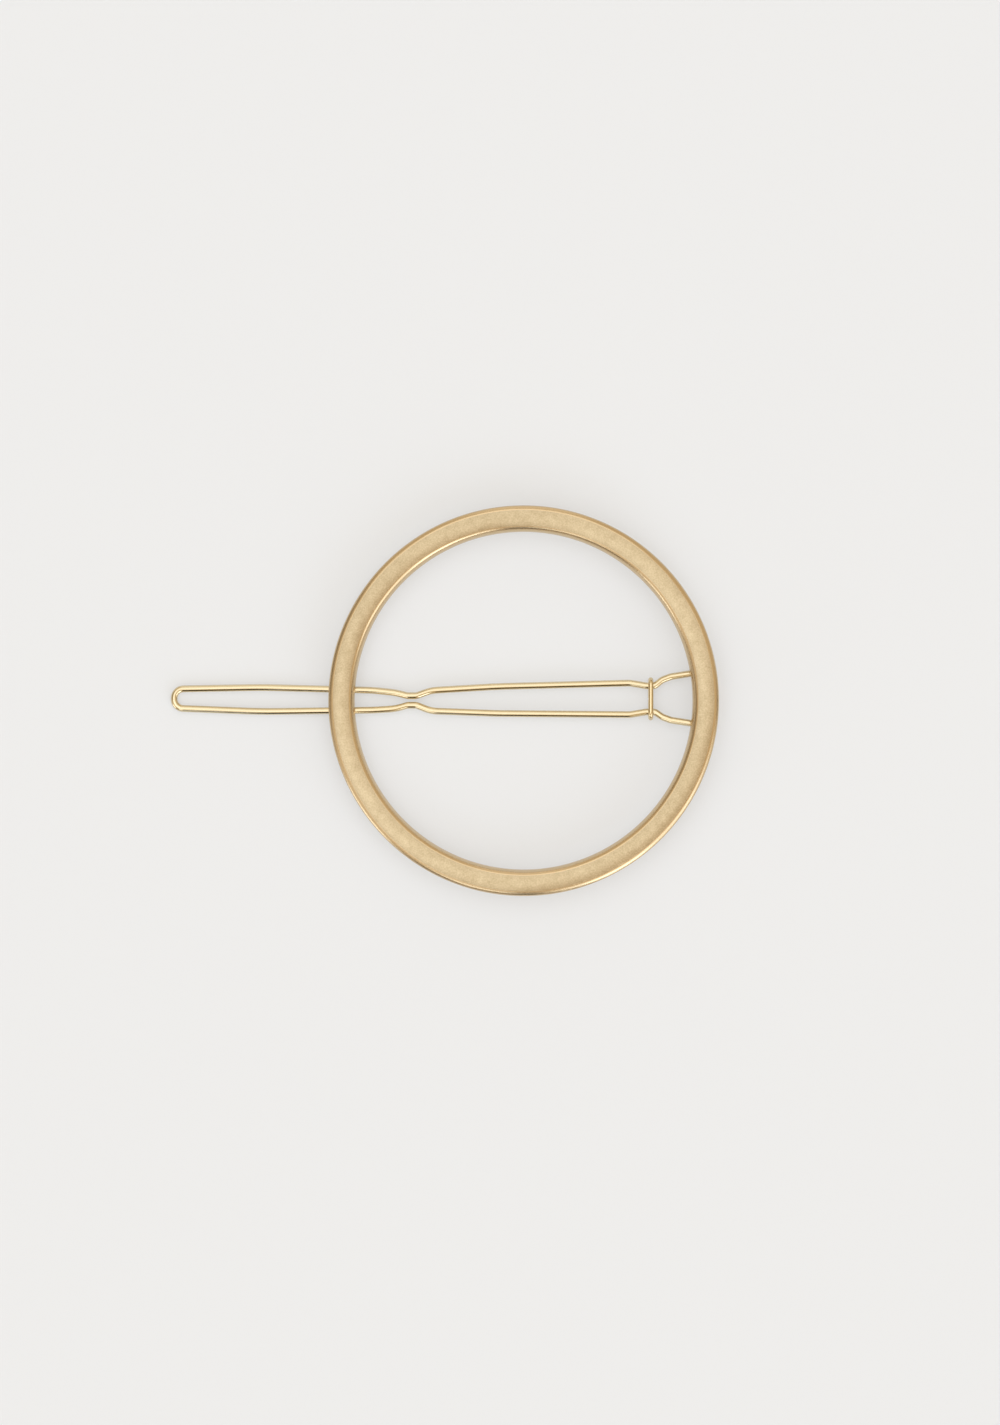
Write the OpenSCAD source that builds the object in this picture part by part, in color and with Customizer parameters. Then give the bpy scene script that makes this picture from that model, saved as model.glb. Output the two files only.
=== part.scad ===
// Open-circle hair clip: a flat gold ring with a sprung wire pin hinged behind it.
// The ring lies in the XY plane and its back is at height zero. The front looks along +Z.
// The pin is hinged at +X under the ring's band and its tip points along -X.

/* [Ring] */
// Outside diameter of the ring
ring_d = 40; // [34:0.5:48]
// Width of the band, from the inside to the outside of the ring
band_w = 2.7; // [2.4:0.05:3.4]
// Thickness of the band at the top of its crown
band_t = 2; // [1.6:0.05:2.6]
// Radius of the crowned front face, across the band
crown_r = 3.5; // [3:0.1:6]
// Radius of the bevel between the crown and the outside edge
outer_bevel_r = 0.8; // [0.5:0.05:0.9]
// Radius of the outside front edge
outer_edge_r = 0.35; // [0.2:0.05:0.5]
// Radius of the bevel between the crown and the inside edge
inner_bevel_r = 0.6; // [0.4:0.05:0.8]
// Radius of the inside front edge
inner_edge_r = 1.1; // [0.4:0.05:1.1]
// Radius of the back edges of the band
back_edge_r = 0.25; // [0.1:0.05:0.35]

/* [Pin wire] */
// Diameter of the spring wire
wire_d = 0.7; // [0.55:0.05:0.8]
// Distance from the hinge axis to the middle of the wire at the tip
pin_reach = 54.5; // [46:0.1:62]
// Half of the space between the legs' centrelines at the tip
tip_half_w = 0.98; // [0.7:0.02:1.6]
// The same at the widest place between the tip and the waist
outer_half_w = 1.24; // [0.9:0.02:1.8]
// The same at the waist
waist_half_w = 0.49; // [0.45:0.01:0.8]
// The same at the widest place between the waist and the collar
inner_half_w = 1.62; // [1.2:0.02:2.2]
// The same under the collar
collar_half_w = 1.34; // [1:0.02:1.6]
// The same where the legs spread beside the knuckle
spread_half_w = 2.23; // [1.9:0.01:2.6]
// The same at the hinge, where the wire turns inwards
hinge_half_w = 2.78; // [2.7:0.02:3.2]
// How far the pin leans towards +Y at its hinge, as the real wire was bent
hinge_lean = 0.24; // [0:0.02:0.26]
// The same at its tip
tip_lean = 0.22; // [0:0.02:0.26]
// Distance from the hinge axis to the middle of the waist
waist_from_hinge = 30.1; // [24:0.1:36]
// Length of the narrow part of the waist
waist_len = 0.95; // [0.6:0.05:2]
// Radius of the bends at the tip
tip_bend_r = 0.95; // [0.6:0.05:1.2]
// Radius of the tight bends at the collar and the hinge
tight_bend_r = 0.6; // [0.45:0.05:0.8]
// Radius of the bends in the narrow part of the waist, and where the legs spread to the hinge
open_bend_r = 1.2; // [0.8:0.1:2]
// Radius of the bends where the legs leave the waist towards the hinge
shoulder_bend_r = 4; // [2:0.5:6]
// Radius of the bends where the legs close in to the collar
closing_bend_r = 2.4; // [1.6:0.2:4]
// Radius of the bends where the legs close in to the waist
waist_bend_r = 7.5; // [4:0.5:12]
// Radius of the bends before those
waist_ease_r = 15; // [8:1:25]
// Radius of the long easy bends in the legs
easy_bend_r = 60; // [20:5:120]

/* [Collar] */
// Diameter of the collar's wire
collar_wire_d = 0.52; // [0.4:0.02:0.6]
// Distance from the hinge axis to the middle of the collar
collar_from_hinge = 5.6; // [5.2:0.1:7]
// Gap between the collar's two cut ends, at the back
seam_gap = 0.2; // [0.1:0.05:0.5]
// Space left between the collar and the legs that it is crimped on
crimp_clear = 0.01; // [0.01:0.01:0.05]

/* [Hinge] */
// Depth of the hinge axis behind the ring's back
hinge_drop = 0.8; // [0.75:0.05:1.2]
// Length of the knuckle, along the hinge axis
knuckle_len = 3.8; // [2.8:0.1:3.9]
// Wall of the knuckle on each side of its bore
knuckle_side = 0.36; // [0.25:0.02:0.5]
// Wall of the knuckle behind its bore
knuckle_floor = 0.5; // [0.45:0.05:0.8]
// Radius of the knuckle's two long back edges
knuckle_edge_r = 0.45; // [0.1:0.05:0.5]
// Radial clearance of the wire in the bore
hinge_clear = 0.04; // [0.02:0.01:0.08]
// Gap between the wire's two ends inside the bore
end_gap = 0.6; // [0.2:0.1:1.4]
// Gap between the closed pin and the ring's back, at the far side of the ring
rest_gap = 0.1; // [0.05:0.01:0.2]

/* [Hidden] */

satin_gold = "#dec6a2";
polished_gold = "#e6cd95";
ring_facets = 240;
wire_facets = 32;
// Steps along a bend, and along each round edge of an outline
bend_steps = 12;
edge_steps = 8;
// How far a cut runs past the face that it starts from
overrun = 0.5;
// Thickness of a wire in its bends, and how far a bend reaches into the run beside it, as shares of
// the wire's diameter
bend_thickness_share = 0.994;
bend_buried_share = 0.03;

wire_r = wire_d / 2;
ring_mid_r = (ring_d - band_w) / 2;
hinge_x = ring_mid_r;
bore_r = wire_r + hinge_clear;
knuckle_w = 2 * (bore_r + knuckle_side);
knuckle_depth = hinge_drop + bore_r + knuckle_floor;
// The closed pin rises towards the tip until it almost touches the ring's back.
lift_angle = asin((hinge_drop - wire_r - rest_gap) / (hinge_x + ring_mid_r));

// Where each long stretch of the legs has its bends, as shares of that stretch
inner_stretch = waist_from_hinge - collar_from_hinge;
outer_stretch = pin_reach - waist_from_hinge;
inner_wide_share = 0.087;
inner_bow_share = 0.645;
waist_rise_share = 0.08;
waist_fall_share = 0.07;
waist_ease_share = 0.165;
outer_wide_share = 0.63;
// How wide the legs are at those bends, as shares of the widest half width there
inner_bow_w_share = 0.852;
waist_rise_w_share = 0.648;
waist_fall_w_share = 0.665;
waist_ease_w_share = 0.82;
// Straight run under the collar, and the two bends beside it, as shares of the collar's place
collar_run_share = 0.08;
flare_share = 0.79;
spread_share = 0.63;
flare_w_share = 0.852;
// How far the legs lean at those places, as shares of the lean at the tip and at the hinge
outer_wide_lean_share = 0.55;
waist_ease_lean_share = 0.23;
waist_lean_share = 0.1;
inner_bow_lean_share = 0.3;
collar_lean_share = 0.8;
waist_lean = hinge_lean * waist_lean_share;
collar_lean = hinge_lean * collar_lean_share;
// Shortest straight run that is drawn, as a share of the wire's diameter
shortest_run_share = 0.001;

// Points along an arc, from angle a to angle b, with its middle at c
function arc_points(c, r, a, b) =
    [for (i = [0:edge_steps]) c + r * [cos(a + (b - a) * i / edge_steps), sin(a + (b - a) * i / edge_steps)]];

// One wire in the XY plane that runs from corner to corner and turns each corner with a round bend.
// A corner is [x, y, bend radius]. A bend takes up to half of the shorter run beside it.
function place(corner) = [corner.x, corner.y];
function heading(a, b) = atan2(b.y - a.y, b.x - a.x);
function run(a, b) = norm(place(b) - place(a));
function turned(angle) = angle > 180 ? angle - 360 : angle <= -180 ? angle + 360 : angle;
function turn(a, b, c) = turned(heading(b, c) - heading(a, b));
function bend_reach(a, b, c) =
    min(b[2] * tan(abs(turn(a, b, c)) / 2), run(a, b) / 2, run(b, c) / 2);
function reach_at(corners, i) =
    i == 0 || i == len(corners) - 1 ? 0 : bend_reach(corners[i - 1], corners[i], corners[i + 1]);

module straight_run(corners, i, d) {
    a = corners[i];
    b = corners[i + 1];
    way = heading(a, b);
    start = place(a) + reach_at(corners, i) * [cos(way), sin(way)];
    length = run(a, b) - reach_at(corners, i) - reach_at(corners, i + 1);
    if (length > d * shortest_run_share)
        translate(start) rotate([0, 90, way]) cylinder(h = length, d = d, $fn = wire_facets);
}

// A wire is drawn a little thinner where it bends, and each bend's ends lie inside the straight runs.
module round_bend(corners, i, d) {
    way = heading(corners[i - 1], corners[i]);
    angle = turn(corners[i - 1], corners[i], corners[i + 1]);
    reach = reach_at(corners, i);
    radius = reach / tan(abs(angle) / 2);
    side = angle > 0 ? 90 : -90;
    middle = place(corners[i]) - reach * [cos(way), sin(way)] + radius * [cos(way + side), sin(way + side)];
    buried = bend_buried_share * d / radius * 180 / PI;
    translate(middle)
        rotate((angle > 0 ? way - 90 : way + 90 + angle) - buried)
            rotate_extrude(angle = abs(angle) + 2 * buried, $fn = ceil(360 / abs(angle)) * bend_steps)
                translate([radius, 0]) circle(d = d * bend_thickness_share, $fn = wire_facets);
}

module bent_wire(corners, d) {
    for (i = [0:len(corners) - 2]) straight_run(corners, i, d);
    for (i = [1:len(corners) - 2]) round_bend(corners, i, d);
}

// Everything on the pin is drawn from the hinge axis, with the tip along -X, and then put in its place.
module on_the_pin() {
    translate([hinge_x, 0, -hinge_drop]) rotate([0, lift_angle, 0]) children();
}

// Both legs of the pin, from the tip to the wire's ends in the knuckle.
// A row is [x, half of the space between the legs, lean, bend radius].
leg_corners = [
    [-pin_reach, tip_half_w, tip_lean, tip_bend_r],
    [-waist_from_hinge - outer_stretch * outer_wide_share,
        outer_half_w, tip_lean * outer_wide_lean_share, easy_bend_r],
    [-waist_from_hinge - outer_stretch * waist_ease_share,
        outer_half_w * waist_ease_w_share, tip_lean * waist_ease_lean_share, waist_ease_r],
    [-waist_from_hinge - outer_stretch * waist_fall_share,
        outer_half_w * waist_fall_w_share, 0, waist_bend_r],
    [-waist_from_hinge - waist_len / 2, waist_half_w, waist_lean, open_bend_r],
    [-waist_from_hinge + waist_len / 2, waist_half_w, waist_lean, open_bend_r],
    [-waist_from_hinge + inner_stretch * waist_rise_share,
        inner_half_w * waist_rise_w_share, 0, shoulder_bend_r],
    [-collar_from_hinge - inner_stretch * inner_bow_share,
        inner_half_w * inner_bow_w_share, hinge_lean * inner_bow_lean_share, easy_bend_r],
    [-collar_from_hinge - inner_stretch * inner_wide_share, inner_half_w, collar_lean, closing_bend_r],
    [-collar_from_hinge * (1 + collar_run_share), collar_half_w, collar_lean, open_bend_r],
    [-collar_from_hinge * (1 - collar_run_share), collar_half_w, collar_lean, tight_bend_r],
    [-collar_from_hinge * flare_share, spread_half_w * flare_w_share, hinge_lean, open_bend_r],
    [-collar_from_hinge * spread_share, spread_half_w, hinge_lean, open_bend_r],
    [0, hinge_half_w, hinge_lean, tight_bend_r],
    [0, end_gap / 2, hinge_lean, 0]
];

upper_leg = [for (c = leg_corners) [c.x, c[2] + c.y, c[3]]];
lower_leg = [for (i = [len(leg_corners) - 1:-1:0])
    [leg_corners[i].x, leg_corners[i][2] - leg_corners[i].y, leg_corners[i][3]]];

// The front of the band is made of five arcs. Each bevel ends where the band tilts by half a right angle,
// and the crown spans what the bevels and edges leave of the width.
bevel_end_tilt = 45;
function arc_width(r, a, b) = r * (sin(b) - sin(a));
crown_tilt = asin(
    (band_w - arc_width(outer_bevel_r + inner_bevel_r, 0, bevel_end_tilt)
        - arc_width(outer_edge_r + inner_edge_r, bevel_end_tilt, 90))
    / (2 * crown_r - outer_bevel_r - inner_bevel_r));
crown_mid_r = ring_d / 2 - arc_width(outer_edge_r, bevel_end_tilt, 90)
    - arc_width(outer_bevel_r, crown_tilt, bevel_end_tilt) - arc_width(crown_r, 0, crown_tilt);

// Centre of a bevel, on the side of the crown given by side, 1 outside and -1 inside
function bevel_centre(bevel_r, side) =
    [crown_mid_r + side * (crown_r - bevel_r) * sin(crown_tilt),
        band_t - crown_r + (crown_r - bevel_r) * cos(crown_tilt)];

// Centre of the round edge below that bevel
function edge_centre(bevel_r, edge_r, side) =
    bevel_centre(bevel_r, side) + (bevel_r - edge_r) * [side * sin(bevel_end_tilt), cos(bevel_end_tilt)];

module ring() {
    outer_r = ring_d / 2;
    inner_r = outer_r - band_w;
    edge_turn = 90 - bevel_end_tilt;
    crown_turn = 90 - crown_tilt;
    color(satin_gold)
        rotate_extrude($fn = ring_facets)
            polygon(concat(
                arc_points([outer_r - back_edge_r, back_edge_r], back_edge_r, -90, 0),
                arc_points(edge_centre(outer_bevel_r, outer_edge_r, 1), outer_edge_r, 0, edge_turn),
                arc_points(bevel_centre(outer_bevel_r, 1), outer_bevel_r, edge_turn, crown_turn),
                arc_points([crown_mid_r, band_t - crown_r], crown_r, crown_turn, 180 - crown_turn),
                arc_points(bevel_centre(inner_bevel_r, -1), inner_bevel_r, 180 - crown_turn, 180 - edge_turn),
                arc_points(edge_centre(inner_bevel_r, inner_edge_r, -1), inner_edge_r, 180 - edge_turn, 180),
                arc_points([inner_r + back_edge_r, back_edge_r], back_edge_r, 180, 270)
            ));
}

// A small block soldered flat to the ring's back, with a bore that the wire's two ends turn in
module hinge_knuckle() {
    edge_r = min(knuckle_edge_r, knuckle_w / 2);
    color(polished_gold)
        difference() {
            translate([hinge_x, 0, 0])
                rotate([90, 0, 0])
                    linear_extrude(height = knuckle_len, center = true)
                        polygon(concat(
                            [[-knuckle_w / 2, 0]],
                            arc_points([edge_r - knuckle_w / 2, edge_r - knuckle_depth], edge_r, 180, 270),
                            arc_points([knuckle_w / 2 - edge_r, edge_r - knuckle_depth], edge_r, 270, 360),
                            [[knuckle_w / 2, 0]]
                        ));
            translate([hinge_x, 0, -hinge_drop])
                rotate([90, 0, 0])
                    cylinder(h = knuckle_len + 2 * overrun, r = bore_r, center = true, $fn = wire_facets);
        }
}

// One length of spring wire: end, leg, tip, leg, end
module pin_wire() {
    color(polished_gold)
        on_the_pin() bent_wire(concat(lower_leg, upper_leg), wire_d);
}

// A short wire bent round both legs and crimped, so that they can't spread out of the knuckle
module crimp_collar() {
    wrap_r = wire_r + crimp_clear + collar_wire_d / 2;
    side_x = collar_half_w + wrap_r;
    color(polished_gold)
        on_the_pin()
            translate([-collar_from_hinge, collar_lean, 0])
                rotate([90, 0, 90])
                    bent_wire([
                        [seam_gap / 2, -wrap_r, 0],
                        [side_x, -wrap_r, wrap_r],
                        [side_x, wrap_r, wrap_r],
                        [-side_x, wrap_r, wrap_r],
                        [-side_x, -wrap_r, wrap_r],
                        [-seam_gap / 2, -wrap_r, 0]
                    ], collar_wire_d);
}

ring();
hinge_knuckle();
pin_wire();
crimp_collar();
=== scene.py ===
# %% [markdown]
# # A ring hair clip, modelled on its CAD frame
#
# The clip is an open metal ring with a long wire pin behind it. A lock of hair goes between the two, and the
# pin's spring holds it. The CAD model gives every size and place, and these cells add what the eye sees:
# round wires, soft edges, the satin and the polish of the gold, and plain studio light.
#
# The CAD nodes are made of flat facets 0.01 mm off the true shape, which a mirror-bright edge shows at once.
# So each of the four pieces is drawn again here on the same sizes, with finer steps, and stands for its node.

import math

import bpy
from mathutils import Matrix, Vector


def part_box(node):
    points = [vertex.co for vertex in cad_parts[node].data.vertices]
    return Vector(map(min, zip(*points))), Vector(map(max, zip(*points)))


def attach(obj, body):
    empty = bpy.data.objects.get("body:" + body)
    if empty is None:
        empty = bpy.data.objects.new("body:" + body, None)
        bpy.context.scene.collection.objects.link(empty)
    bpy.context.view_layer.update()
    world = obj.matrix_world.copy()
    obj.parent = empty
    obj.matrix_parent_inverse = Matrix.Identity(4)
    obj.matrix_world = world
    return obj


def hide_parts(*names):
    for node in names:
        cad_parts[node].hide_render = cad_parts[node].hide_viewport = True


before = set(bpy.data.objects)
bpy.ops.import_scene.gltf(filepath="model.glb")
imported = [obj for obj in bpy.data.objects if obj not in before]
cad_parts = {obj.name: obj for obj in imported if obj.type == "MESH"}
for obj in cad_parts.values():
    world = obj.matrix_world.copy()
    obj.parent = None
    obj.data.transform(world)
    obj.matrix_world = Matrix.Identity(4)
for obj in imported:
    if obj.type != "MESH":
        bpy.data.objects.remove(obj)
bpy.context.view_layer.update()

# %% [markdown]
# ## The sizes
#
# Blender works in metres and a jeweller in millimetres, so the sizes are written in millimetres and turned
# over once. They are the same values that the CAD source names, because scene.py can't read that file.

# %% Sizes of the clip
MM = 0.001

ring_d, band_w, band_t = 40 * MM, 2.7 * MM, 2 * MM
# The front of the band is made of five arcs: a wide crown, a bevel on each side of it, and a round edge
crown_r, back_edge_r = 3.5 * MM, 0.25 * MM
outer_bevel_r, outer_edge_r = 0.8 * MM, 0.35 * MM
inner_bevel_r, inner_edge_r = 0.6 * MM, 1.1 * MM

wire_d, collar_wire_d = 0.7 * MM, 0.52 * MM
ring_mid_r = (ring_d - band_w) / 2
hinge_x, hinge_drop = ring_mid_r, 0.8 * MM
rest_gap = 0.1 * MM
lift_angle = math.asin((hinge_drop - wire_d / 2 - rest_gap) / (2 * ring_mid_r))
# Points nearer than this are one point
same_point = 0.0005 * MM
print("The closed pin rises by", round(math.degrees(lift_angle), 3), "degrees towards its tip")

# %% [markdown]
# ## A pen and a compass
#
# Two of Blender's edit-mode operators draw almost everything on this clip. Extrude moves the pen along a
# straight line, and Spin swings it along an arc, as a compass does. They work on one point, which draws an
# outline, and just as well on a whole disc, which draws a wire.
#
# An operator acts on whatever is selected, so a new piece starts with nothing selected, and the end that was
# drawn last stays selected for the next stroke.


# %% Helpers for drawing
def new_shape(add_primitive, **settings):
    """Adds a primitive on its own, with its place in its mesh, and opens it for editing."""
    bpy.ops.object.select_all(action="DESELECT")
    add_primitive(**settings)
    bpy.ops.object.transform_apply(location=True, rotation=True, scale=True)
    bpy.ops.object.mode_set(mode="EDIT")
    bpy.ops.mesh.select_all(action="SELECT")


def draw_line(x, y, z):
    bpy.ops.mesh.extrude_region_move(TRANSFORM_OT_translate={"value": (x, y, z)})


def draw_arc(centre, axis, angle, steps):
    """Swings the pen about an axis, by the right-hand rule. Spin itself turns the other way."""
    bpy.ops.mesh.spin(steps=steps, angle=-angle, center=centre, axis=axis)


def finish_shape(name, smooth_below=30):
    """Closes the seams, turns the faces outwards and smooths all edges flatter than an angle."""
    bpy.ops.mesh.select_all(action="SELECT")
    bpy.ops.mesh.remove_doubles(threshold=same_point)
    bpy.ops.mesh.normals_make_consistent(inside=False)
    bpy.ops.object.mode_set(mode="OBJECT")
    bpy.ops.object.shade_smooth_by_angle(angle=math.radians(smooth_below))
    shape = bpy.context.object
    shape.name = shape.data.name = name
    size = [round(side / MM, 2) for side in shape.dimensions]
    print(name, "has", len(shape.data.polygons), "faces and measures", size, "mm")
    return shape


# %% [markdown]
# ## The ring
#
# The real ring is a zinc casting, gold plated. Its front is slightly crowned and its edges are rounded over,
# so that it slides through hair. It could be a torus squashed flat, but then the flat back, the wide crown
# and the small edge radius would all be wrong. A section drawn with pen and compass has exactly those radii,
# and one full spin about the ring's axis makes it solid.

# %% Draw the ring's section
outer_r, inner_r = ring_d / 2, ring_d / 2 - band_w
quarter = math.pi / 2
# Each bevel ends at 45 degrees of tilt, and the crown spans what the bevels and edges leave of the width
half_sine = math.sin(quarter / 2)
bevels_w = half_sine * (outer_bevel_r + inner_bevel_r)
edges_w = (1 - half_sine) * (outer_edge_r + inner_edge_r)
crown_sine = (band_w - bevels_w - edges_w) / (2 * crown_r - outer_bevel_r - inner_bevel_r)
crown_tilt = math.asin(crown_sine)
crown_mid_r = (outer_r - outer_edge_r * (1 - half_sine) - outer_bevel_r * (half_sine - crown_sine)
               - crown_r * crown_sine)
break_z = band_t - crown_r * (1 - math.cos(crown_tilt))
# The section lies in the XZ plane and is drawn anticlockwise, as seen with X to the right and Z up
anticlockwise = (0, -1, 0)
back_steps, edge_steps, crown_steps, ring_steps = 8, 12, 20, 400


def edge_centre_z(bevel_r, edge_r):
    """Height of the centre of a round edge, where its wall begins."""
    return break_z - bevel_r * (math.cos(crown_tilt) - half_sine) - edge_r * half_sine


outer_wall_z = edge_centre_z(outer_bevel_r, outer_edge_r)
inner_wall_z = edge_centre_z(inner_bevel_r, inner_edge_r)
outer_bevel_centre = (crown_mid_r + (crown_r - outer_bevel_r) * crown_sine, 0,
                      band_t - crown_r + (crown_r - outer_bevel_r) * math.cos(crown_tilt))
inner_bevel_centre = (crown_mid_r - (crown_r - inner_bevel_r) * crown_sine, 0,
                      band_t - crown_r + (crown_r - inner_bevel_r) * math.cos(crown_tilt))

# A small square merged into one point is the pen, so its size doesn't matter
new_shape(bpy.ops.mesh.primitive_plane_add, size=wire_d, location=(outer_r - back_edge_r, 0, 0))
bpy.ops.mesh.merge(type="CENTER")
draw_arc((outer_r - back_edge_r, 0, back_edge_r), anticlockwise, quarter, back_steps)
draw_line(0, 0, outer_wall_z - back_edge_r)
draw_arc((outer_r - outer_edge_r, 0, outer_wall_z), anticlockwise, quarter / 2, edge_steps)
draw_arc(outer_bevel_centre, anticlockwise, quarter / 2 - crown_tilt, edge_steps)
draw_arc((crown_mid_r, 0, band_t - crown_r), anticlockwise, 2 * crown_tilt, crown_steps)
draw_arc(inner_bevel_centre, anticlockwise, quarter / 2 - crown_tilt, edge_steps)
draw_arc((inner_r + inner_edge_r, 0, inner_wall_z), anticlockwise, quarter / 2, edge_steps)
draw_line(0, 0, back_edge_r - inner_wall_z)
draw_arc((inner_r + back_edge_r, 0, back_edge_r), anticlockwise, quarter, back_steps)
draw_line(band_w - 2 * back_edge_r, 0, 0)
print("The crown meets the bevels at", round(math.degrees(crown_tilt), 1), "degrees of tilt")

# %% Spin the section into the ring
bpy.ops.mesh.select_all(action="SELECT")
bpy.ops.mesh.remove_doubles(threshold=same_point)
bpy.ops.mesh.select_all(action="SELECT")
draw_arc((0, 0, 0), (0, 0, 1), 2 * math.pi, ring_steps)
ring_band = finish_shape("ring_band")

# %% [markdown]
# ## Bending a wire
#
# The pin is one length of 0.7 mm spring wire, bent round pegs on a bench. A curve object with a round bevel
# would look much the same, but its handles only come near a true bend radius. Here a disc is pushed along the
# straight runs and swung round the pegs, so each bend has the radius of its peg, and the mesh is one closed
# tube from cut end to cut end.
#
# A corner is where two straight runs would meet, with the radius of the peg there. A bend never takes more
# than half of the shorter run beside it.


# %% Helper that bends a wire
wire_sides, degrees_a_step, fewest_steps = 40, 5, 3
shortest_run = MM / 1000


def bent_wire(corners, thickness):
    """Draws a round wire in the XY plane. A corner is (x, y, bend radius)."""
    places = [Vector(corner[:2]) for corner in corners]
    runs = [b - a for a, b in zip(places, places[1:])]
    turns = [0.0] + [-a.angle_signed(b) for a, b in zip(runs, runs[1:])] + [0.0]
    reaches = [0.0]
    for i in range(1, len(corners) - 1):
        wanted = corners[i][2] * math.tan(abs(turns[i]) / 2)
        reaches.append(min(wanted, runs[i - 1].length / 2, runs[i].length / 2))
    reaches.append(0.0)

    first_way = math.atan2(runs[0].y, runs[0].x)
    new_shape(bpy.ops.mesh.primitive_circle_add, vertices=wire_sides, radius=thickness / 2, fill_type="NGON",
              location=(*places[0], 0), rotation=(0, quarter, first_way))
    for i, run in enumerate(runs):
        way = run.normalized()
        straight = run.length - reaches[i] - reaches[i + 1]
        if straight > shortest_run:
            draw_line(*(way * straight), 0)
        if i + 1 < len(runs):
            angle = turns[i + 1]
            bend_r = reaches[i + 1] / math.tan(abs(angle) / 2)
            side = Vector((-way.y, way.x)) * math.copysign(bend_r, angle)
            peg = places[i + 1] - way * reaches[i + 1] + side
            steps = max(fewest_steps, round(math.degrees(abs(angle)) / degrees_a_step))
            draw_arc((*peg, 0), (0, 0, 1), angle, steps)


# %% [markdown]
# ## The spring pin
#
# The pin is shaped as a long hairpin. From its closed tip the legs bow out, pinch in to a waist that keeps
# fine hair from sliding, bow out again, draw in under the collar, and spread to the hinge, where both ends
# turn inwards into the knuckle's bore. It is drawn flat about the hinge axis, and then laid behind the ring.

# %% Corners of the legs
pin_reach, waist_from_hinge, waist_len, collar_from_hinge = 54.5, 30.1, 0.95, 5.6
inner_stretch = waist_from_hinge - collar_from_hinge
outer_stretch = pin_reach - waist_from_hinge
tip_half_w, outer_half_w, waist_half_w, inner_half_w = 0.98, 1.24, 0.49, 1.62
collar_half_w, spread_half_w, hinge_half_w = 1.34, 2.23, 2.78
# The real pin was bent by hand, and it leans a little towards +Y
hinge_lean, tip_lean = 0.24, 0.22
waist_lean, collar_lean = hinge_lean * 0.1, hinge_lean * 0.8
tight_bend_r, open_bend_r, closing_bend_r, tip_bend_r = 0.6, 1.2, 2.4, 0.95
easy_bend_r, waist_ease_r, waist_bend_r, shoulder_bend_r = 60, 15, 7.5, 4
# Space between the wire's two ends inside the knuckle
end_gap = 0.6
# Each row has the distance from the hinge axis, half the space between the legs, how far they lean,
# and the bend radius, in mm. The shares place a bend along its stretch, and give its width as a part of the
# widest there.
leg = [
    (pin_reach, tip_half_w, tip_lean, tip_bend_r),
    (waist_from_hinge + outer_stretch * 0.63, outer_half_w, tip_lean * 0.55, easy_bend_r),
    (waist_from_hinge + outer_stretch * 0.165, outer_half_w * 0.82, tip_lean * 0.23, waist_ease_r),
    (waist_from_hinge + outer_stretch * 0.07, outer_half_w * 0.665, 0, waist_bend_r),
    (waist_from_hinge + waist_len / 2, waist_half_w, waist_lean, open_bend_r),
    (waist_from_hinge - waist_len / 2, waist_half_w, waist_lean, open_bend_r),
    (waist_from_hinge - inner_stretch * 0.08, inner_half_w * 0.648, 0, shoulder_bend_r),
    (collar_from_hinge + inner_stretch * 0.645, inner_half_w * 0.852, hinge_lean * 0.3, easy_bend_r),
    (collar_from_hinge + inner_stretch * 0.087, inner_half_w, collar_lean, closing_bend_r),
    (collar_from_hinge * 1.08, collar_half_w, collar_lean, open_bend_r),
    (collar_from_hinge * 0.92, collar_half_w, collar_lean, tight_bend_r),
    (collar_from_hinge * 0.79, spread_half_w * 0.852, hinge_lean, open_bend_r),
    (collar_from_hinge * 0.63, spread_half_w, hinge_lean, open_bend_r),
    (0, hinge_half_w, hinge_lean, tight_bend_r),
    (0, end_gap / 2, hinge_lean, 0),
]
upper_leg = [(-from_hinge * MM, (lean + half) * MM, bend * MM) for from_hinge, half, lean, bend in leg]
lower_leg = [(-from_hinge * MM, (lean - half) * MM, bend * MM) for from_hinge, half, lean, bend in reversed(leg)]
print("The wire is bent at", 2 * (len(leg) - 1), "places")


# %% Bend the pin and lay it behind the ring
def lay_on_hinge():
    """Turns what was drawn about the hinge axis to the closed pin's slope, and moves it to the hinge."""
    bpy.ops.mesh.select_all(action="SELECT")
    bpy.ops.transform.rotate(value=-lift_angle, orient_axis="Y", center_override=(0, 0, 0))
    bpy.ops.transform.translate(value=(hinge_x, 0, -hinge_drop))


bent_wire(lower_leg + upper_leg, wire_d)
lay_on_hinge()
spring_pin = finish_shape("spring_pin")

# %% [markdown]
# ## The crimped collar
#
# A short piece of thinner wire is bent round both legs and squeezed shut. It keeps the legs from spreading,
# so the pin's ends can't leave the knuckle. Its two cut ends almost meet at the back. It is bent as the pin
# was, in a flat plane, and then stood up round the legs.

# %% Bend the collar and stand it round the legs
crimp_clear, seam_gap = 0.01 * MM, 0.2 * MM
wrap_r = wire_d / 2 + crimp_clear + collar_wire_d / 2
wrap_x = collar_half_w * MM + wrap_r
bent_wire([
    (seam_gap / 2, -wrap_r, 0),
    (wrap_x, -wrap_r, wrap_r), (wrap_x, wrap_r, wrap_r),
    (-wrap_x, wrap_r, wrap_r), (-wrap_x, -wrap_r, wrap_r),
    (-seam_gap / 2, -wrap_r, 0),
], collar_wire_d)
bpy.ops.mesh.select_all(action="SELECT")
bpy.ops.transform.rotate(value=-quarter, orient_axis="X", center_override=(0, 0, 0))
bpy.ops.transform.rotate(value=-quarter, orient_axis="Z", center_override=(0, 0, 0))
bpy.ops.transform.translate(value=(-collar_from_hinge * MM, collar_lean * MM, 0))
lay_on_hinge()
crimped_collar = finish_shape("crimped_collar")

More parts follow.
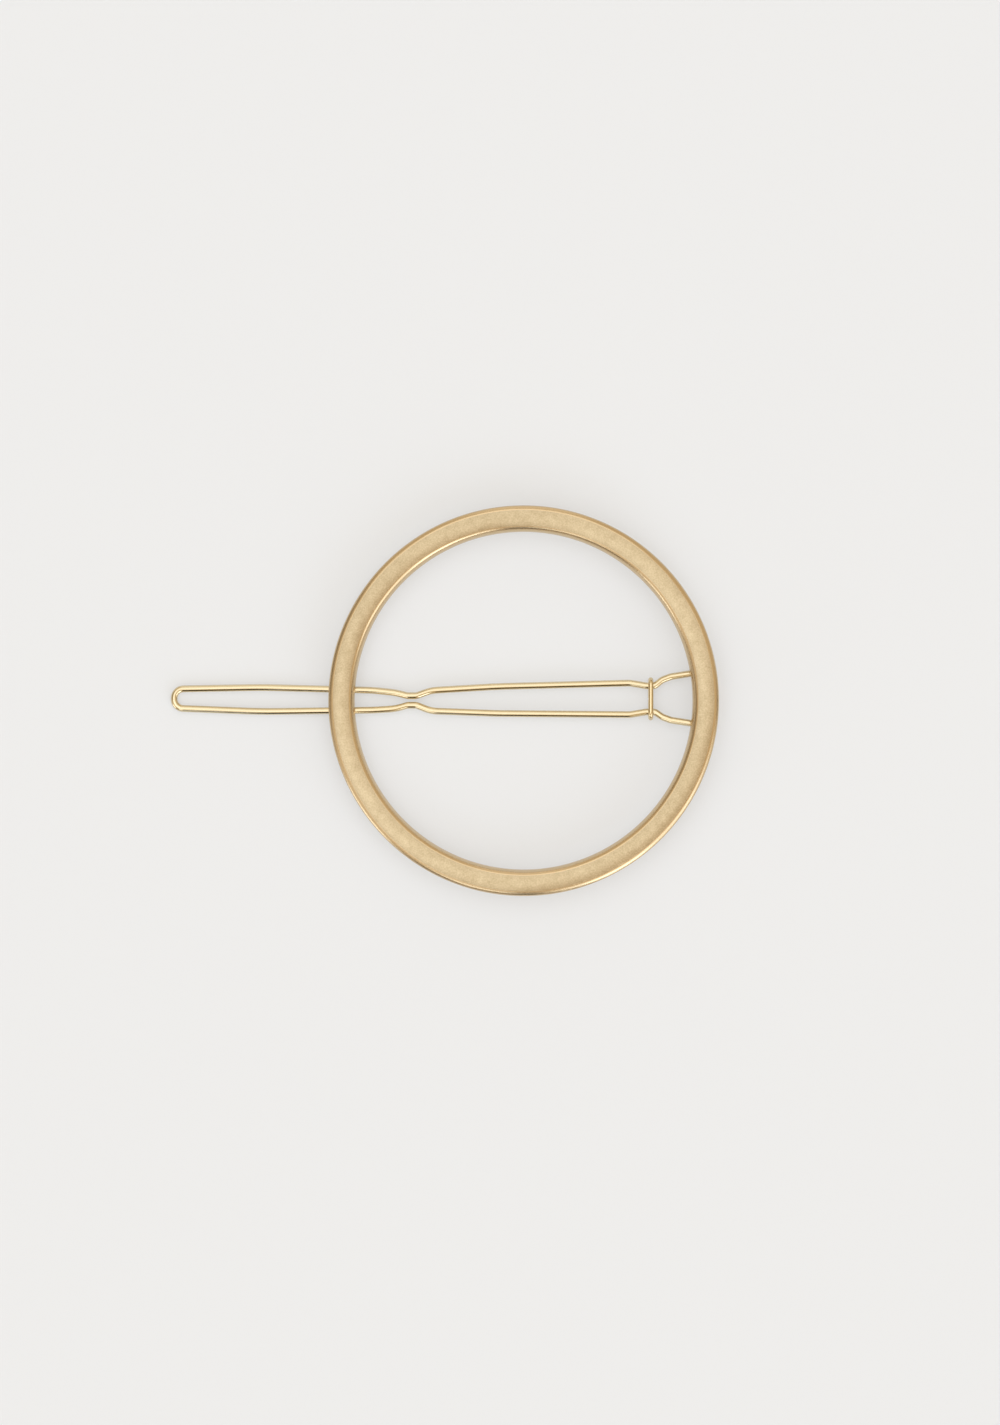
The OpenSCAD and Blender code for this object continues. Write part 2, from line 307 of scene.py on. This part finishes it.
# %% [markdown]
# ## The hinge knuckle
#
# The photo hides the hinge under the band, so this block follows what such clips have: a small piece of metal
# soldered flat to the ring's back, drilled across for the wire's two ends. A cube is the start. Its two long
# back edges are bevelled round, and a drill, which is a cylinder, is cut out of it with a Boolean.

# %% Shape the knuckle and drill it
knuckle_len, knuckle_edge_r, bore_r = 3.8 * MM, 0.45 * MM, 0.39 * MM
knuckle_side, knuckle_floor, soft_edge_r = 0.36 * MM, 0.5 * MM, 0.06 * MM
knuckle_w = 2 * (bore_r + knuckle_side)
knuckle_depth = hinge_drop + bore_r + knuckle_floor
# An edge counts as long, or as at the back, from this share of the knuckle's own size
nearly_all = 0.9


def select_edges(chosen):
    """Selects the edges of the open shape whose two ends pass a test."""
    bpy.ops.mesh.select_all(action="DESELECT")
    bpy.ops.object.mode_set(mode="OBJECT")
    mesh = bpy.context.object.data
    for edge in mesh.edges:
        edge.select = chosen(*(mesh.vertices[v].co for v in edge.vertices))
    bpy.ops.object.mode_set(mode="EDIT")


bpy.context.tool_settings.mesh_select_mode = (False, True, False)
new_shape(bpy.ops.mesh.primitive_cube_add, size=1, location=(hinge_x, 0, -knuckle_depth / 2),
          scale=(knuckle_w, knuckle_len, knuckle_depth))
select_edges(lambda a, b: max(a.z, b.z) < -knuckle_depth * nearly_all
             and abs(a.y - b.y) > knuckle_len * nearly_all)
bpy.ops.mesh.bevel(offset=knuckle_edge_r, segments=10, affect="EDGES")
hinge_block = finish_shape("hinge_block")

bpy.ops.object.select_all(action="DESELECT")
bpy.ops.mesh.primitive_cylinder_add(vertices=wire_sides, radius=bore_r, depth=2 * knuckle_len,
                                    location=(hinge_x, 0, -hinge_drop), rotation=(quarter, 0, 0))
drill = bpy.context.object
bpy.ops.object.select_all(action="DESELECT")
bpy.context.view_layer.objects.active = hinge_block
hinge_block.select_set(True)
cut = hinge_block.modifiers.new("Bore", "BOOLEAN")
cut.operation, cut.solver, cut.object = "DIFFERENCE", "EXACT", drill
bpy.ops.object.modifier_apply(modifier=cut.name)
bpy.data.objects.remove(drill)
soft = hinge_block.modifiers.new("Soft edges", "BEVEL")
soft.width, soft.segments = soft_edge_r, 3
soft.limit_method, soft.angle_limit = "ANGLE", math.radians(50)
bpy.ops.object.modifier_apply(modifier=soft.name)
bpy.ops.object.shade_smooth_by_angle(angle=math.radians(30))
print("The drilled knuckle has", len(hinge_block.data.polygons), "faces")

# %% [markdown]
# ## Metal, one node at a time
#
# A hex colour is written for the screen, and a shader wants linear light, so one function turns it over.
# Another adds a node, sets it and links it, and that is all the help that a material needs.


# %% Helpers for materials
def linear(hex_colour):
    """The linear RGBA of an sRGB hex colour such as #d8b075."""
    channels = [int(hex_colour[i:i + 2], 16) / 255 for i in (1, 3, 5)]
    return tuple(c / 12.92 if c <= 0.04045 else ((c + 0.055) / 1.055) ** 2.4 for c in channels) + (1,)


def add_node(tree, kind, inputs=(), **settings):
    """Adds a node. Its settings are named, and its inputs are (socket, value or the output to link)."""
    node = tree.nodes.new(kind)
    for name, value in settings.items():
        setattr(node, name, value)
    for socket, source in inputs:
        if isinstance(source, bpy.types.NodeSocket):
            tree.links.new(source, node.inputs[socket])
        else:
            node.inputs[socket].default_value = source
    return node


def new_material(name):
    material = bpy.data.materials.new(name)
    material.use_nodes = True
    tree = material.node_tree
    metal = tree.nodes["Principled BSDF"]
    metal.inputs["Metallic"].default_value = 1.0
    return material, tree, metal


# %% [markdown]
# ## Satin and polished gold plate
#
# The ring is cast zinc under a thin plate of pale gold. Its front was blasted with fine glass beads and spun
# against a soft brush before plating, so it looks soft, has a fine grain, and spreads reflections across the
# band. The rounded edges were tumbled and buffed bright.
#
# Brush lines could be drawn one by one, but here they are too fine to see, and the shader's own anisotropy has
# their effect on the light. Both finishes meet in a crisp line, so they are one material with a mask: how far a
# point is from the middle of the band, and whether it is on the front.

# %% Ring material
ring_gold, tree, metal = new_material("Gold plated zinc, blasted face and buffed edges")
place = add_node(tree, "ShaderNodeTexCoord").outputs["Object"]
axes = add_node(tree, "ShaderNodeSeparateXYZ", [(0, place)]).outputs
flat = add_node(tree, "ShaderNodeCombineXYZ", [(0, axes[0]), (1, axes[1])]).outputs[0]
radius = add_node(tree, "ShaderNodeVectorMath", [(0, flat)], operation="LENGTH").outputs["Value"]
from_mid = add_node(tree, "ShaderNodeMath", [(0, radius), (1, crown_mid_r)], operation="SUBTRACT").outputs[0]
off_mid = add_node(tree, "ShaderNodeMath", [(0, from_mid)], operation="ABSOLUTE").outputs[0]
# The satin gives way to the polish over twice this width
face_half_w, mask_blur = crown_r * crown_sine, 0.03 * MM
on_face = add_node(tree, "ShaderNodeMapRange", [
    ("Value", off_mid), ("From Min", face_half_w + mask_blur), ("From Max", face_half_w - mask_blur),
], interpolation_type="SMOOTHSTEP").outputs["Result"]
on_front = add_node(tree, "ShaderNodeMath", [(0, axes[2]), (1, band_t / 2)], operation="GREATER_THAN").outputs[0]
satin = add_node(tree, "ShaderNodeMath", [(0, on_face), (1, on_front)], operation="MULTIPLY").outputs[0]

grain_size, cloud_size, swell_size = 0.15 * MM, 0.9 * MM, 6 * MM
# Bead-blasted grain is about 0.05 mm across. It is drawn at 0.15 mm, or the render would not show it.
grain = add_node(tree, "ShaderNodeTexNoise", [
    ("Vector", place), ("Scale", 1 / grain_size), ("Detail", 3.0), ("Roughness", 0.6)]).outputs["Fac"]
# The plate is a little uneven over about 1 mm, which the photo shows as soft clouds.
clouds = add_node(tree, "ShaderNodeTexNoise", [
    ("Vector", place), ("Scale", 1 / cloud_size), ("Detail", 2.0)]).outputs["Fac"]
uneven = add_node(tree, "ShaderNodeMath", [(0, clouds), (1, 0.4), (2, grain)],
                  operation="MULTIPLY_ADD").outputs[0]
shade = add_node(tree, "ShaderNodeMapRange", [("Value", uneven), ("From Min", 0.42), ("From Max", 0.98)])
face_colour = add_node(tree, "ShaderNodeMix", [
    ("Factor", shade.outputs["Result"]), (6, linear("#ab9979")), (7, linear("#cfbe9e"))],
    data_type="RGBA").outputs[2]
colour = add_node(tree, "ShaderNodeMix", [
    ("Factor", satin), (6, linear("#d3bd9a")), (7, face_colour)], data_type="RGBA").outputs[2]
tree.links.new(colour, metal.inputs["Base Color"])

face_rough = add_node(tree, "ShaderNodeMapRange", [
    ("Value", grain), ("To Min", 0.28), ("To Max", 0.38)]).outputs["Result"]
rough = add_node(tree, "ShaderNodeMix", [
    ("Factor", satin), ("A", 0.26), ("B", face_rough)]).outputs["Result"]
tree.links.new(rough, metal.inputs["Roughness"])
# The blasted ring was spun against a soft brush. The lines it leaves run along the band, too fine to see, and
# they spread reflections across it. The shader wants that direction in world space, so it turns with the ring.
brushed = add_node(tree, "ShaderNodeMath", [(0, satin), (1, 0.6)], operation="MULTIPLY").outputs[0]
across = add_node(tree, "ShaderNodeVectorTransform", [(0, flat)], vector_type="VECTOR", convert_from="OBJECT",
                  convert_to="WORLD").outputs[0]
tree.links.new(brushed, metal.inputs["Anisotropic"])
tree.links.new(across, metal.inputs["Tangent"])

height = add_node(tree, "ShaderNodeMath", [(0, grain), (1, satin)], operation="MULTIPLY").outputs[0]
# A hand-finished casting is never quite flat. It swells and dips by some hundredths of a millimetre over its
# length, and the soft reflections wander with it.
swell = add_node(tree, "ShaderNodeTexNoise", [
    ("Vector", place), ("Scale", 1 / swell_size), ("Detail", 1.0)]).outputs["Fac"]
waves = add_node(tree, "ShaderNodeBump", [
    ("Strength", 1.0), ("Distance", 0.15 * MM), ("Height", swell)]).outputs["Normal"]
relief = add_node(tree, "ShaderNodeBump", [
    ("Strength", 0.6), ("Distance", 0.01 * MM), ("Height", height), ("Normal", waves)]).outputs["Normal"]
tree.links.new(relief, metal.inputs["Normal"])
ring_band.data.materials.append(ring_gold)

# %% [markdown]
# ## Polished wire
#
# The pin and the collar are drawn steel wire, polished and gold plated. Drawing leaves hair-fine lines along
# the wire, which stretch a highlight a little. The knuckle was tumbled with the other small parts.


# %% Wire and knuckle materials
def bright_gold(name, colours, roughness, line_pitch, line_length):
    """Polished plate with fine lines along X. The pitch and length of the lines are in metres."""
    material, tree, metal = new_material(name)
    place = add_node(tree, "ShaderNodeTexCoord").outputs["Object"]
    stretched = add_node(tree, "ShaderNodeMapping", [
        ("Vector", place), ("Scale", (1 / line_length, 1 / line_pitch, 1 / line_pitch))]).outputs[0]
    lines = add_node(tree, "ShaderNodeTexNoise", [
        ("Vector", stretched), ("Scale", 1.0), ("Detail", 2.0)]).outputs["Fac"]
    tint = add_node(tree, "ShaderNodeMix", [
        ("Factor", lines), (6, linear(colours[0])), (7, linear(colours[1]))], data_type="RGBA").outputs[2]
    rough = add_node(tree, "ShaderNodeMapRange", [
        ("Value", lines), ("To Min", roughness[0]), ("To Max", roughness[1])]).outputs["Result"]
    relief = add_node(tree, "ShaderNodeBump", [
        ("Strength", 0.2), ("Distance", 0.002 * MM), ("Height", lines)]).outputs["Normal"]
    for socket, source in (("Base Color", tint), ("Roughness", rough), ("Normal", relief)):
        tree.links.new(source, metal.inputs[socket])
    return material


spring_pin.data.materials.append(bright_gold(
    "Gold plated spring wire, drawn and polished", ("#d6c6a2", "#e2d4b5"), (0.08, 0.14), 0.1 * MM, 4 * MM))
crimped_collar.data.materials.append(bright_gold(
    "Gold plated brass wire, crimped", ("#d9c49c", "#e4d4b0"), (0.1, 0.18), 0.12 * MM, 0.6 * MM))
hinge_block.data.materials.append(bright_gold(
    "Gold plated steel, tumbled", ("#d8be92", "#e4cca4"), (0.22, 0.34), 0.15 * MM, 0.3 * MM))

# %% [markdown]
# ## The pieces and the frame
#
# Each piece stands for its CAD node and rides on that node's body. The pin and its collar are one body, and the
# ring and its knuckle are the other, which swings up from the pin as the clip opens.

# %% Tie the pieces to the frame
for piece, node, body, slot in (
    (ring_band, "ring", "ring_body", "satin_gold"),
    (hinge_block, "hinge_knuckle", "ring_body", "polished_gold"),
    (spring_pin, "pin_wire", "pin_body", "polished_gold"),
    (crimped_collar, "crimp_collar", "pin_body", "polished_gold"),
):
    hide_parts(node)
    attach(piece, body)
    low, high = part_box(node)
    off = max(abs(a - b) for a, b in zip((*low, *high), (
        *(min(v.co[i] for v in piece.data.vertices) for i in range(3)),
        *(max(v.co[i] for v in piece.data.vertices) for i in range(3)))))
    print(piece.name, "matches", node, "to", round(off / MM, 4), "mm")

# %% [markdown]
# ## The table
#
# The clip lies on its back on a sheet of white paper. It touches the sheet at two places, the collar's back
# and the underside of the tip, so the sheet is tilted by about a degree to pass under both.

# %% Lay the paper under the clip
collar_x, collar_low = -collar_from_hinge * MM, -wrap_r - collar_wire_d / 2
tip_x, tip_low = -pin_reach * MM, -wire_d / 2


def on_pin(x, z):
    """A place on the closed pin, given from the hinge axis along the pin and square to it."""
    return Vector((hinge_x + x * math.cos(lift_angle) + z * math.sin(lift_angle),
                   -hinge_drop - x * math.sin(lift_angle) + z * math.cos(lift_angle)))


# The sheet is 3 m wide, so that no view shows its end, and lies a hair below the metal
sheet_w, below_metal = 3, 0.01 * MM
touch_collar, touch_tip = on_pin(collar_x, collar_low), on_pin(tip_x, tip_low)
slope = math.atan2(touch_tip.y - touch_collar.y, touch_collar.x - touch_tip.x)
bpy.ops.object.select_all(action="DESELECT")
bpy.ops.mesh.primitive_plane_add(size=sheet_w, location=(touch_tip.x, 0, touch_tip.y - below_metal),
                                 rotation=(0, slope, 0))
bpy.ops.object.transform_apply(location=True, rotation=True)
paper = bpy.context.object
paper.name = "paper"
print("The paper slopes by", round(math.degrees(slope), 2), "degrees")

# %% [markdown]
# ## White paper
#
# The photo's paper is a flat pale grey, and its shadows are faint, because the picture was lightened after it
# was taken. So what the camera sees of the paper is half lit paper and half a steady glow of the same grey.
# Reflections see it too, and the shadow stays. Real paper can't be seen through, but here it is clear from
# below, because the clip's back is looked at from there.

# %% Paper material
white_paper = bpy.data.materials.new("White paper, matt")
white_paper.use_nodes = True
tree = white_paper.node_tree
sheet = tree.nodes["Principled BSDF"]
sheet.inputs["Base Color"].default_value = linear("#e9eff9")
sheet.inputs["Roughness"].default_value = 0.9
sheet.inputs["Specular IOR Level"].default_value = 0.0
glow = add_node(tree, "ShaderNodeEmission", [("Color", linear("#ececec")), ("Strength", 1.0)]).outputs[0]
rays = add_node(tree, "ShaderNodeLightPath").outputs
seen = add_node(tree, "ShaderNodeMath", [(0, rays["Is Camera Ray"]), (1, rays["Is Glossy Ray"])],
                operation="ADD").outputs[0]
seen = add_node(tree, "ShaderNodeMath", [(0, seen), (1, rays["Is Transmission Ray"])],
                operation="ADD", use_clamp=True).outputs[0]
half = add_node(tree, "ShaderNodeMath", [(0, seen), (1, 0.5)], operation="MULTIPLY").outputs[0]
blend = add_node(tree, "ShaderNodeMixShader", [(0, half), (1, sheet.outputs[0]), (2, glow)]).outputs[0]
# From below the sheet is clear, so that the clip's back can be looked at
below = add_node(tree, "ShaderNodeNewGeometry").outputs["Backfacing"]
clear = add_node(tree, "ShaderNodeBsdfTransparent").outputs[0]
blend = add_node(tree, "ShaderNodeMixShader", [(0, below), (1, blend), (2, clear)]).outputs[0]
tree.links.new(blend, tree.nodes["Material Output"].inputs["Surface"])
paper.data.materials.append(white_paper)

# %% [markdown]
# ## Studio light
#
# Polished metal shows the room more than itself. In the photo the dark parts of the gold are orange and the
# bright parts pale, so the walls here are warm and the lamps a little cool. There are three soft boxes high up,
# a low window to the lower right whose middle and sides are brighter than its edges, a small reflector and two
# dim walls. Area lamps near the clip would light the sheet unevenly, so each is a sun lamp with a wide angle.
#
# The room itself is the world's colour, dimmed in the places where the photo's reflections are dark. Two of
# them are tall narrow gaps, one below the clip in the picture and one to its right.

# %% Lamps
lamps = {
    # name: (azimuth from +X towards +Y, elevation, width of the light as an angle, brightness), in degrees
    "overhead soft box": (104, 73, 62, 0.82),
    "second box": (230, 68, 36, 0.7),
    "third box": (12, 62, 24, 0.3),
    "window": (310, 27, 50, 1.0),
    "middle of the window": (298, 20, 24, 1.6),
    "right of the window": (335, 20, 26, 0.7),
    "left of the window": (255, 33, 22, 1.3),
    "small reflector": (217, 6, 22, 2.0),
    "far wall": (90, 16, 36, 0.3),
    "lower left wall": (205, 30, 40, 0.2),
}
cool_white = (0.9, 1.0, 1.13)
for name, (azimuth, elevation, width, brightness) in lamps.items():
    lamp = bpy.data.lights.new(name, "SUN")
    lamp.angle = math.radians(width)
    lamp.energy = brightness * math.pi * math.sin(lamp.angle / 2) ** 2
    lamp.color = cool_white
    holder = bpy.data.objects.new(name, lamp)
    holder.rotation_euler = (0, math.radians(90 - elevation), math.radians(azimuth))
    bpy.context.scene.collection.objects.link(holder)

# %% Room
warm_wall, tall_gap = (0.73, 0.6, 0.41), (0.02, 0.02, 0.02)
# Each dark place has the azimuth and elevation of its middle, the angles from there at which it begins to
# dim and is dimmest, and the shares of red, green and blue that are left
dark_places = [
    (321, 62, 30, 10, (0.88, 0.76, 0.57)),
    (168, 6, 40, 8, (0.45, 0.45, 0.45)),
    (239, 12, 14, 4, (0.1, 0.1, 0.1)),
    (252, 4, 16, 8, (0.3, 0.3, 0.3)),
    (284, 2, 13, 6, (0.3, 0.3, 0.3)),
]
# Two tall narrow gaps, one below the clip in the picture and one to its right, make the thin dark lines on
# the wires that run along X and along Y
below_clip, right_of_clip = 270, 0
dark_places += [(below_clip, rise, 7.5, 4, tall_gap) for rise in range(0, 41, 8)]
dark_places += [(right_of_clip, rise, 5, 2.5, tall_gap) for rise in range(0, 16, 5)]
room = bpy.data.worlds.new("Room")
room.use_nodes = True
tree = room.node_tree
way = add_node(tree, "ShaderNodeTexCoord").outputs["Generated"]
light = warm_wall + (1,)
for azimuth, elevation, begins, dimmest, left in dark_places:
    turn, rise = math.radians(azimuth), math.radians(elevation)
    middle = (math.cos(rise) * math.cos(turn), math.cos(rise) * math.sin(turn), math.sin(rise))
    nearness = add_node(tree, "ShaderNodeVectorMath", [(0, way), (1, middle)], operation="DOT_PRODUCT")
    depth = add_node(tree, "ShaderNodeMapRange", [
        ("Value", nearness.outputs["Value"]), ("From Min", math.cos(math.radians(begins))),
        ("From Max", math.cos(math.radians(dimmest)))], interpolation_type="SMOOTHSTEP").outputs["Result"]
    light = add_node(tree, "ShaderNodeMix", [
        ("Factor", depth), (6, light), (7, left + (1,))], data_type="RGBA", blend_type="MULTIPLY").outputs[2]
tree.links.new(light, tree.nodes["Background"].inputs["Color"])
bpy.context.scene.world = room

# %% [markdown]
# ## The camera
#
# The photo was taken from straight above, with the clip a little above and to the right of the middle of the
# sheet. The frame is 1000 by 1425 pixels, and the ring's 40 mm take 390 of them. A long lens at 0.8 m keeps
# the far and near parts of the ring the same size.

# %% Place the camera
photo_w, photo_h, pixels_per_mm = 1000, 1425, 9.75
ring_at = (523.6, 700.7)
camera_height, sensor = 0.8, 36.0
camera = bpy.data.cameras.new("Camera")
camera.sensor_width = sensor
camera.lens = sensor * camera_height / (photo_h / pixels_per_mm * MM)
holder = bpy.data.objects.new("Camera", camera)
holder.location = ((photo_w / 2 - ring_at[0]) / pixels_per_mm * MM,
                   (ring_at[1] - photo_h / 2) / pixels_per_mm * MM, camera_height)
bpy.context.scene.collection.objects.link(holder)
bpy.context.scene.camera = holder
bpy.context.scene.view_settings.view_transform = "Standard"
print("The lens is", round(camera.lens, 1), "mm")
